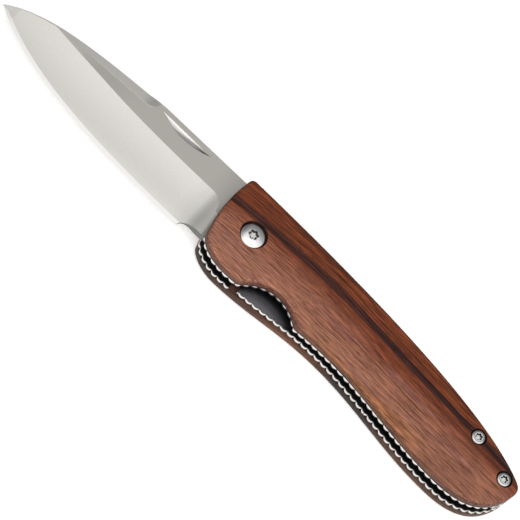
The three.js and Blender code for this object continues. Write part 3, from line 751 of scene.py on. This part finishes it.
lockBar = {
    "face": 5.8, "lean": 0.08, "top": -3.2, "gap": 0.3, "endSlot": 2.4, "slit": 0.7, "root": 50.0,
    "reliefRadius": 1.1, "leanAngle": 1.66, "bendEnd": 34.0,
    "ballPlace": 3.3, "ballHeight": -5.4, "ballRadius": 0.6, "ballRoom": 0.08,
}


def lockFaceAt(y):
    return lockBar["face"] + lockBar["lean"] * (lockBar["top"] - y)


# The point of the path's lower side that is nearest to a line, given as x by y
def bellyIndex(path, line):
    points = path["points"][:len(path["points"]) // 2]
    away = np.array([abs(px - line(py)) for px, py in points])
    return int(np.argmin(away + 100 * (points[:, 1] > -6)))


plainPath = filedPath(False)
allHoles = pinHoles("pivot", "spineScrew", "buttScrew", "stopPin")
markLiner = liner("markLinerSteel", filedPath(True), allHoles, markLinerBase)
place(markLiner, "handle", "polished_steel", "mark_liner")

relief = (lockBar["root"] - lockBar["reliefRadius"], lockBar["top"] + lockBar["slit"] / 2)
meets = math.degrees(math.asin(lockBar["slit"] / 2 / lockBar["reliefRadius"]))


def reliefArc(fromAngle, toAngle):
    return polar(relief, lockBar["reliefRadius"], np.radians(np.linspace(fromAngle, toAngle, 15)))


windowTop = lockBar["top"] + lockBar["slit"]
windowFront = lockBar["gap"] - lockBar["endSlot"]
rootIndex = bellyIndex(plainPath, lambda y: lockBar["root"])
window = rerouted(
    plainPath, rootIndex, bellyIndex(plainPath, lambda y: lockFaceAt(y) + windowFront),
    [(lockFaceAt(windowTop) + windowFront, windowTop), *reliefArc(180 - meets, 0)],
)
lockLiner = liner("lockLinerSteel", window, allHoles, lockLinerBase)
place(lockLiner, "handle", "polished_steel", "lock_liner")

# The lock bar is a leaf that bends near its root. At rest its free end stands in the slot.
barPath = rerouted(
    plainPath, bellyIndex(plainPath, lambda y: lockFaceAt(y) + lockBar["gap"]), rootIndex,
    [*reliefArc(0, -180 + meets), (lockFaceAt(lockBar["top"]) + lockBar["gap"], lockBar["top"])],
)
ball = (lockFaceAt(lockBar["ballHeight"]) + lockBar["ballPlace"], lockBar["ballHeight"])
ballHole = holeLoop(ball, lockBar["ballRadius"] + lockBar["ballRoom"])
bar = liner("lockBarSteel", barPath, [ballHole], lockLinerBase, barSteel)
rootX = pivot.x + lockBar["root"] * mm
bendX = pivot.x + lockBar["bendEnd"] * mm
lift = bar.data.attributes.new("lift", "FLOAT", "POINT")
for vertex in bar.data.vertices:
    reach = rootX - vertex.co.x
    raised = smoothstep(reach / (rootX - bendX)) * reach * math.sin(math.radians(lockBar["leanAngle"]))
    vertex.co.z += raised
    lift.data[vertex.index].value = raised / mm
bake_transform(bar)
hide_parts("lock_bar")


# Blade: sections along its length, the tang, and the cuts

blade = {
    "reach": 84.7, "spine": 11.7, "edge": 10.2, "tipHeight": 1.5, "spineFall": 37.0, "heel": 15.6,
    "choil": 3.6, "plungeFront": 14.8, "plungeBack": 11.0, "plungeRound": 4.0,
    "bevelWidth": 13.8, "bevelTaper": 0.75, "bevelTurn": 51.0, "bevelTurnRun": 20.0, "bevelDrop": 1.5,
    "sharpWidth": 0.95, "sharpBack": 0.6, "sharpShare": 0.3, "backShare": 0.06, "land": 0.02,
    "falseStart": 39.1, "falseEnd": 71.4, "falseWidth": 2.8, "falseRun": 2.8, "falseDrop": 0.5,
    "falseEase": 5.0, "falseShare": 0.62, "ridgeStart": 0.3, "ridgeRun": 0.6,
    "ricasso": 7.9, "tangRadius": 8.4, "stopDistance": 10.0, "stopRadius": 1.4, "stopGap": 0.1,
    "nickPlace": 29.15, "nickLength": 16.7, "nickWidth": 1.9, "nickDepth": 0.6, "nickBelow": 1.45,
    "closed": 177, "detentDepth": 0.3,
}
bladeTip = (-blade["reach"], blade["tipHeight"])


# A curve to the tip, with two corners at shares of the way along and up
def curveToTip(start, *shares):
    corners = [[s + share * (t - s) for s, t, share in zip(start, bladeTip, pair)] for pair in shares]
    return bezier(start, *corners, bladeTip, count=1200)


edgeCurve = curveToTip((-blade["heel"], -blade["edge"]), (0.43, 0.0), (0.77, 0.15))
spineCurve = curveToTip((-blade["spineFall"], blade["spine"]), (0.42, 0.12), (0.79, 0.3))


def heightAt(curve, x):
    return float(np.interp(-x, -curve[:, 0], curve[:, 1]))


# Rises from 0 to 1 as a quarter of a circle does
def quarterRound(value):
    return math.sqrt(1 - (1 - clamp(value)) ** 2)


# One side of a section: (height, half thickness) from the spine to the lower side
def bladeSide(x):
    b, half = blade, layers["blade"] / 2
    spine = b["spine"] if x > -b["spineFall"] else heightAt(spineCurve, x)
    ahead = x <= -b["heel"]
    if ahead:
        lower = edge = heightAt(edgeCurve, x)
    else:
        edge = -b["edge"]
        lower = edge + (b["edge"] - b["ricasso"]) * quarterRound((x + b["heel"]) / b["choil"])
    width = spine - lower
    sharp = min(b["sharpWidth"], b["sharpShare"] * width)
    behind = min(b["sharpBack"] / 2, b["backShare"] * width)
    slope = (half - b["sharpBack"] / 2) / (b["bevelWidth"] - b["sharpWidth"])
    share = clamp((x + b["plungeFront"]) / (b["plungeFront"] - b["plungeBack"]))
    plunge = smoothstep(share)

    def bevelAt(y):
        ground = min(behind + slope * (y - edge - sharp), half)
        return ground + (half - ground) * plunge

    narrowing = clamp((-b["heel"] - x) / (b["falseEnd"] - b["heel"]))
    turning = max(-b["bevelTurn"] - x, 0.0) / b["bevelTurnRun"]
    top = edge + b["bevelWidth"] - b["bevelTaper"] * narrowing ** 2 - b["bevelDrop"] * turning ** 2
    top -= b["plungeRound"] * (1 - math.sqrt(1 - share ** 2))

    # The false edge swings down from the spine in an arc and runs out towards the tip
    past = -b["falseStart"] - x
    runOut = clamp(past / (b["falseEnd"] - b["falseStart"]))
    falseWidth = min(b["falseWidth"] * math.sqrt(1 - runOut ** 2), b["falseShare"] * max(spine - top, 0.0))
    falseWidth *= quarterRound(past / b["falseRun"])
    shoulder = spine - max(falseWidth, b["land"] * width)
    drop = b["falseDrop"] / b["falseWidth"] * falseWidth * smoothstep(past / b["falseEase"])
    grind = min(top, shoulder - b["land"] * width)
    foot = lower + (sharp if ahead else b["land"])
    return [
        (spine, bevelAt(shoulder) - drop), (shoulder, bevelAt(shoulder)), (grind, bevelAt(grind)),
        (foot, bevelAt(foot)), (lower, 0.0),
    ]


def bladeStations():
    b = blade
    ricassoPart = np.linspace(-9.6, -b["heel"] + b["choil"], 10)
    choilPart = -b["heel"] + b["choil"] * np.linspace(1, 0, 40)[1:] ** 2
    steadyPart = np.linspace(-b["heel"], -b["falseStart"], 60)[1:]
    swingPart = -b["falseStart"] - b["falseRun"] * np.linspace(0, 1, 20)[1:] ** 2
    run = np.linspace(0, 1, 160)[1:-1]
    tipPart = swingPart[-1] - (b["reach"] + swingPart[-1]) * (1 - (1 - run) ** 1.3)
    return np.concatenate([ricassoPart, choilPart, steadyPart, swingPart, tipPart])


def solidObject(name, work, materials):
    bmesh.ops.recalc_face_normals(work, faces=work.faces)
    mesh = bpy.data.meshes.new(name)
    work.to_mesh(mesh)
    work.free()
    for material in materials:
        mesh.materials.append(material)
    return newPiece(name, mesh)


nickSteel = makeSteel("nickSteel", (0.93, 0.92, 0.89), 0.50, 0.3, 0.3, 3e-7, 0.02, nickShade, 0.35)
bladeFinishes = [flatSteel, bevelSteel, edgeSteel, falseSteel, flatSteel, nickSteel, wallSteel]
flatFinish, bevelFinish, edgeFinish, falseFinish, spineFinish, nickFinish, wallFinish = range(7)


def groundBlade():
    work = bmesh.new()
    ridgeMark = work.verts.layers.float.new("ridge")
    rows = []
    for x in bladeStations():
        side = bladeSide(x)
        section = side + [(y, -half) for y, half in side[-2::-1]]
        rows.append([work.verts.new(rowPoint(x, y, bladeMiddle + z)) for y, z in section])
        # Marks the false edge's shoulder for its painted highlight line
        for corner in (rows[-1][1], rows[-1][-2]):
            corner[ridgeMark] = clamp((-blade["falseStart"] - blade["ridgeStart"] - x) / blade["ridgeRun"])
    tipVertex = work.verts.new(rowPoint(*bladeTip, bladeMiddle))
    strips = (falseFinish, flatFinish, bevelFinish, edgeFinish)
    finishes = (*strips, *strips[::-1], spineFinish)
    for i, row in enumerate(rows):
        for j, finish in enumerate(finishes):
            k = (j + 1) % len(finishes)
            if i + 1 < len(rows):
                face = work.faces.new((row[j], rows[i + 1][j], rows[i + 1][k], row[k]))
            else:
                face = work.faces.new((row[j], tipVertex, row[k]))
            if finish == edgeFinish and row[0].co.x > pivot.x - blade["heel"] * mm:
                finish = wallFinish
            if finish == falseFinish and row[0].co.x > pivot.x - blade["falseStart"] * mm:
                finish = flatFinish
            face.material_index = finish
    work.faces.new(rows[0]).material_index = flatFinish
    return solidObject("bladeSteel", work, bladeFinishes)


# Closes two end faces and bridges the rows between them, which run round the solid
def bridgeRows(work, rows):
    ends = [work.faces.new(row) for row in (rows[0], rows[-1])]
    for a, b in zip(rows, rows[1:]):
        for i in range(len(a)):
            k = (i + 1) % len(a)
            work.faces.new((a[i], a[k], b[k], b[i]))
    return ends


def cutter(name, rows, finish, endFinish):
    work = bmesh.new()
    ends = bridgeRows(work, [[work.verts.new(rowPoint(*point)) for point in row] for row in rows])
    for face in work.faces:
        face.material_index = endFinish if face in ends else finish
    return solidObject(name, work, bladeFinishes)


def prism(name, outline, low, high):
    return cutter(name, [[(x, y, z) for x, y in outline] for z in (low, high)], wallFinish, flatFinish)


def tangOutline():
    b = blade
    stop = math.atan2(pins["stopPin"][1], pins["stopPin"][0])
    first = -math.asin(b["ricasso"] / b["tangRadius"])
    last = stop + math.asin((b["stopRadius"] + b["stopGap"]) / b["stopDistance"])
    return [
        (-b["plungeBack"], -b["ricasso"]), *polar((0, 0), b["tangRadius"], np.linspace(first, last, 90)),
        (b["spine"] / math.tan(last), b["spine"]), (-b["plungeBack"], b["spine"]),
    ]


# Part of a flat cone whose round side leaves the nick's curved floor
def nickCutter():
    b = blade
    radius = (b["nickLength"] ** 2 / 4 + b["nickDepth"] ** 2) / (2 * b["nickDepth"])
    height = b["nickWidth"] * 1.2
    centre = bladeTop + radius - b["nickDepth"]
    top = b["spine"] - b["nickBelow"]
    angles = np.radians(np.linspace(-10, 10, 161))
    rows = [
        [(-b["nickPlace"] + r * math.sin(a), y, centre - r * math.cos(a)) for a in angles]
        for y, r in ((top, radius), (top - height, radius - b["nickDepth"] / b["nickWidth"] * height))
    ]
    return cutter("nickCutter", rows, nickFinish, nickFinish)


def cutWith(target, operations):
    for operation, other in operations:
        modifier = target.modifiers.new(operation, "BOOLEAN")
        modifier.operation = operation
        modifier.object = other
        modifier.solver = "EXACT"
    return applied(target, *[other for _, other in operations])


under, over = bladeBase - 1.0, bladeTop + 1.0  # cutters reach past the blade's faces
notchTop = lockBar["top"] + lockBar["gap"]
notch = [(lockFaceAt(notchTop), notchTop), (lockFaceAt(-25), -25), (17, -25), (17, notchTop)]
closedAngle = math.radians(blade["closed"])
c, s = math.cos(closedAngle), math.sin(closedAngle)
turn = np.array([[c, -s], [s, c]])
detent = circle(np.array(ball) @ turn, lockBar["ballRadius"], 32)
bore = circle(pins["pivot"], pins["pivotHole"])
knifeBlade = cutWith(groundBlade(), [
    ("UNION", prism("tang", tangOutline(), bladeBase, bladeTop)),
    ("DIFFERENCE", prism("notch", notch, under, over)),
    ("DIFFERENCE", prism("bore", bore, under, over)),
    ("DIFFERENCE", prism("detent", detent, under, bladeBase + blade["detentDepth"])),
    ("DIFFERENCE", nickCutter()),
])
finishMesh(knifeBlade, 0.3, byFinish=True)
place(knifeBlade, "blade", "blade_steel", "blade")
print("blade done")


# Back spacer, cut back from the room that the closed blade needs

spacer = {"length": 42.0, "room": 1.0, "legDepth": 6.8, "legFrom": 70}
closedEdge = evenly(edgeCurve @ turn.T, 0.3)
slope = np.gradient(closedEdge, axis=0)
slope /= np.linalg.norm(slope, axis=1)[:, None]
room = closedEdge + np.c_[-slope[:, 1], slope[:, 0]] * spacer["room"]
spacerFront = handle["butt"][0] - spacer["length"]
room = room[room[:, 0] > spacerFront]
longSide = plainPath["points"][:int(plainPath["filed"].sum())]
index = np.arange(len(longSide))
legIndex = int(index[(longSide[:, 0] > spacer["legFrom"]) & (longSide[:, 1] > -spacer["legDepth"])][0])
topIndex = int(index[(longSide[:, 1] > 0) & (longSide[:, 0] > spacerFront)][-1])
legInner = room[-1][0] + spacer["room"]
spacerPath = rerouted(plainPath, legIndex, topIndex, [
    (spacerFront, float(np.interp(spacerFront, room[:, 0], room[:, 1]))),
    *[tuple(p) for p in room[1::3]], (legInner, room[-1][1]), (legInner, -spacer["legDepth"]),
])
rearHoles = pinHoles("spineScrew", "buttScrew")
backSpacer = filedPlate("backSpacerSteel", spacerPath, rearHoles, slotBase, layers["slot"], linerSteel)
place(backSpacer, "handle", "polished_steel", "back_spacer")


# Wooden scales, flat inside and rounded outside, with sunk rooms for the heads

scale = {
    "rounding": 0.9, "step": 0.28, "sink": 1.6, "mouth": 0.1,
    "pivotRoom": 3.65, "spineScrewRoom": 2.15, "buttScrewRoom": 2.15,
}


def woodScale(name, cutOut, base, up, material):
    longSide, front = handleSides(cutOut, scale["step"])
    outline = smoothLoop(np.vstack([longSide, front[1:-1]]), 1)
    loops = [loopOf(outline, scale["rounding"], 2)]
    for pin in ("pivot", "spineScrew", "buttScrew"):
        hole = pins[pin + "Hole"]
        step, sink = scale[pin + "Room"] - hole, scale["sink"] - scale["mouth"]
        loops.append(holeLoop(pins[pin], hole, scale["mouth"], step, sink))
    materials = (material, material)
    piece = runPlate(name, loops, woodPlate, base, layers["scale"], scale["rounding"], materials, up)
    outer = base + up * layers["scale"]
    return finishMesh(piece, flatHeights=(base, outer, outer - up * scale["sink"]))


markScale = woodScale("markScaleWood", True, markScaleBase, 1.0, markWood)
place(markScale, "handle", "rosewood", "mark_scale")
lockScale = woodScale("lockScaleWood", False, layers["scale"], -1.0, lockWood)
place(lockScale, "handle", "rosewood", "lock_scale")
print("handle plates done")


# Screws: two turned heads with star recesses, set on points by a tree

screwSizes = {
    "pivot": {
        "head": 3.48, "height": 1.55, "rim": 0.9, "level": 0.0, "shank": 1.5, "recess": 1.28, "headSideShade": 0.0,
    },
    "rear": {
        "head": 2.08, "height": 1.58, "rim": 0.75, "level": 1.22, "shank": 1.05, "recess": 0.98, "headSideShade": 1.0,
    },
    "shankLength": 3.0, "flute": 0.14, "points": 6, "recessDepth": 0.42, "rimRound": 0.16, "mouth": 0.06,
    "segments": 96, "recessShade": (0.0, 0.8, 1.0, 1.0, 0.85), "seed": 7.0,
}


def screwMesh(name, s):
    common = screwSizes
    dome = s["height"] - s["rim"]
    sideRun = s["head"] - s["level"]
    sphere = (sideRun ** 2 + dome ** 2) / (2 * dome)

    def domeAt(radius):
        return s["height"] - sphere + math.sqrt(sphere ** 2 - max(radius - s["level"], 0) ** 2)

    # Rings as (radius, height, how much of the star shape it has)
    recess, shank, rimRound = s["recess"], s["shank"], common["rimRound"]
    floor = s["height"] * (1 - common["recessDepth"])
    rings = [(recess * 0.45, floor, 1.0), (recess * 0.84, floor, 1.0), (recess, floor + 0.05, 1.0)]
    mouth = recess + common["mouth"]
    rings += [(recess, domeAt(mouth) - common["mouth"], 1.0), (mouth, domeAt(mouth), 1.0)]
    outer = np.linspace(mouth, s["head"] - rimRound, 12)[1:]
    rings += [(r, domeAt(r), max(0, 1 - (r - mouth) / 0.3)) for r in outer]
    for a in np.radians((25, 50, 75, 90)):
        out, down = rimRound * (1 - math.sin(a)), rimRound * (1 - math.cos(a)) * 0.9
        rings.append((s["head"] - out, s["rim"] - down, 0.0))
    rings += [(s["head"], 0.06, 0), (s["head"] - 0.06, 0, 0), (shank, 0, 0)]
    rings += [(shank, -common["shankLength"] + 0.2, 0), (shank - 0.2, -common["shankLength"], 0)]
    work = bmesh.new()
    recessMark = work.verts.layers.float.new("recess")
    sideMark = work.verts.layers.float.new("side")
    rows = []
    for radius, height, star in rings:
        row = []
        for a in np.arange(common["segments"]) * 2 * math.pi / common["segments"]:
            reach = radius * (1 - star * common["flute"] * (1 - math.cos(common["points"] * a)))
            vertex = work.verts.new((reach * math.cos(a) * mm, reach * math.sin(a) * mm, height * mm))
            # Marks for painted shade: in the star recess, and on the sides of the rear heads
            vertex[recessMark] = common["recessShade"][len(rows)] if len(rows) < len(common["recessShade"]) else 0.0
            vertex[sideMark] = clamp((radius - s["level"]) / sideRun * 1.3) * s["headSideShade"]
            row.append(vertex)
        rows.append(row)
    bridgeRows(work, rows)
    return solidObject(name, work, [headSteel])


screwTree, given = newTree("screwSet", {"Seed": screwSizes["seed"]}, {
    "Pivot Head": "Object", "Rear Head": "Object", "Material": "Material",
})
seed = addField(screwTree, "FunctionNodeFloatToInt", {0: given["Seed"]})
inputs = {"Seed": seed, 2: 0.0, 3: 2 * math.pi}
turnBy = addField(screwTree, "FunctionNodeRandomValue", inputs, 1, data_type="FLOAT")
inputs = {0: readNamed(screwTree, "lockSide") * math.pi, 2: turnBy}
facing = addField(screwTree, "ShaderNodeCombineXYZ", inputs)
sets = []
for head, wanted in (("Pivot Head", 0.0), ("Rear Head", 1.0)):
    inputs = {0: readNamed(screwTree, "rear"), 1: wanted, "Epsilon": 0.1}
    chosen = addField(screwTree, "FunctionNodeCompare", inputs, data_type="FLOAT", operation="EQUAL")
    info = addField(screwTree, "GeometryNodeObjectInfo", {"Object": given[head]}, "Geometry",
                    transform_space="ORIGINAL")
    sets.append(addField(screwTree, "GeometryNodeInstanceOnPoints", {
        "Points": given["Geometry"], "Selection": chosen, "Instance": info, "Rotation": facing,
    }))
endTree(screwTree, joined(screwTree, sets), given["Material"])

seats = [(pin, lock) for lock in (0, 1) for pin in ("pivot", "spineScrew", "buttScrew")]
seatHeights = (handleTop - scale["sink"], scale["sink"])
seatMesh = bpy.data.meshes.new("screws")
seatMesh.from_pydata([rowPoint(*pins[pin], seatHeights[lock]) for pin, lock in seats], [], [])
marks = {"rear": [float(pin != "pivot") for pin, _ in seats], "lockSide": [float(lock) for _, lock in seats]}
for label, values in marks.items():
    seatMesh.attributes.new(label, "FLOAT", "POINT").data.foreach_set("value", values)
heads = {f"{name.title()} Head": screwMesh(name + "Head", screwSizes[name]) for name in ("pivot", "rear")}
values = {"Seed": screwSizes["seed"], "Material": headSteel, **heads}
screws = runTree(newPiece("screws", seatMesh), screwTree, values)
for item in heads.values():
    bpy.data.objects.remove(item)
finishMesh(screws, 0.5)
place(screws, "handle", "polished_steel",
      *[f"{side}_{which}_screw" for side in ("mark", "lock") for which in ("pivot", "spine", "butt")])

for names, material in (
    (("pivot_barrel", "stop_pin", "spine_bush", "butt_bush"), pinSteel),
    (("detent_ball",), headSteel), (("lock_washer", "mark_washer"), bronze),
):
    for name in names:
        for materialSlot in nodes[name].material_slots:
            materialSlot.material = material
print("screws and pins done")


# Floor, light and camera

# Camera, glossy and transmission rays see it pale, so metal shows it too
def paleMaterial(name, level, roughness, strength):
    material, tree, shader = newMaterial(name, (level,) * 3, 0, roughness)
    shader.inputs["Emission Color"].default_value = (1, 1, 1, 1)
    light = addNode(tree, "ShaderNodeLightPath").outputs
    seen = Field(tree, light["Is Camera Ray"]) + light["Is Glossy Ray"]
    seen = seen.calc("ADD", light["Is Transmission Ray"], clamp=True)
    plug(shader, {"Emission Strength": seen * strength})
    return material


floorMesh = bpy.data.meshes.new("floor")
floorMesh.from_pydata([(-3, -3, 0), (3, -3, 0), (3, 3, 0), (-3, 3, 0)], [], [(0, 1, 2, 3)])
floorMesh.materials.append(paleMaterial("paper", 0.88, 0.9, 0.3))

# A low pale wall round the floor, for views from the side
wallWork = bmesh.new()
bmesh.ops.create_cone(wallWork, cap_ends=False, segments=96, radius1=2.9, radius2=2.9, depth=0.7,
                      matrix=Matrix.Translation((0, 0, 0.3)))
bmesh.ops.reverse_faces(wallWork, faces=wallWork.faces)
wallMesh = bpy.data.meshes.new("backdrop")
wallWork.to_mesh(wallMesh)
wallWork.free()
wallMesh.materials.append(paleMaterial("card", 0.1, 1.0, 1.0))
newPiece("floor", floorMesh)
newPiece("backdrop", wallMesh)

world = bpy.data.worlds.new("studio")
bpy.context.scene.world = world
world.use_nodes = True
sky = world.node_tree
sky.nodes.clear()
toward = addField(sky, "ShaderNodeTexCoord", output="Generated")
inputs = {0: toward, 1: (0.22, -0.42, 0.88)}
height = addField(sky, "ShaderNodeVectorMath", inputs, "Value", operation="DOT_PRODUCT")
studio = ramp(height * 0.5 + 0.5, [
    (0.30, 0.06), (0.58, (0.24, 0.24, 0.245)), (0.72, 0.43), (0.80, 0.85), (0.90, 1.15),
], "EASE")
glow = addField(sky, "ShaderNodeBackground", {"Color": studio, "Strength": 1.0})
addNode(sky, "ShaderNodeOutputWorld", {"Surface": glow})

lamp = {"place": (0.35, -0.45, 1.15), "size": 1.6, "power": 10.0}
keyLamp = newPiece("key", bpy.data.lights.new("key", "AREA"))
keyLamp.data.energy = lamp["power"]
keyLamp.data.size = lamp["size"]
keyLamp.location = lamp["place"]
keyLamp.visible_glossy = False  # metal shows the studio's own gradient
keyLamp.rotation_euler = (-Vector(lamp["place"])).to_track_quat("-Z", "Y").to_euler()

view = {
    "tilt": 30.5, "roll": 43.5, "distance": 0.9, "height": 0.1284, "right": 1.827, "down": 5.901,
    "headTop": 9.5, "sensor": 36,
}
tilt, roll = math.radians(view["tilt"]), math.radians(view["roll"])
upTilted = Vector((0, math.cos(tilt), math.sin(tilt)))
back = Vector((0, -math.sin(tilt), math.cos(tilt)))
right = Vector((math.cos(roll), 0, 0)) + upTilted * math.sin(roll)
up = upTilted * math.cos(roll) - Vector((math.sin(roll), 0, 0))
aim = Vector(rowPoint(0, 0, view["headTop"])) + (right * view["right"] - up * view["down"]) * mm
camera = newPiece("camera", bpy.data.cameras.new("camera"))
bpy.context.scene.camera = camera
turned = Matrix((right, up, back)).transposed().to_4x4()
camera.matrix_world = Matrix.Translation(aim + back * view["distance"]) @ turned
camera.data.sensor_width = view["sensor"]
camera.data.lens = view["sensor"] * view["distance"] / view["height"]
camera.data.clip_start = 0.01
camera.data.clip_end = 20
bpy.context.scene.view_settings.view_transform = "Standard"
print("floor, light and camera done")
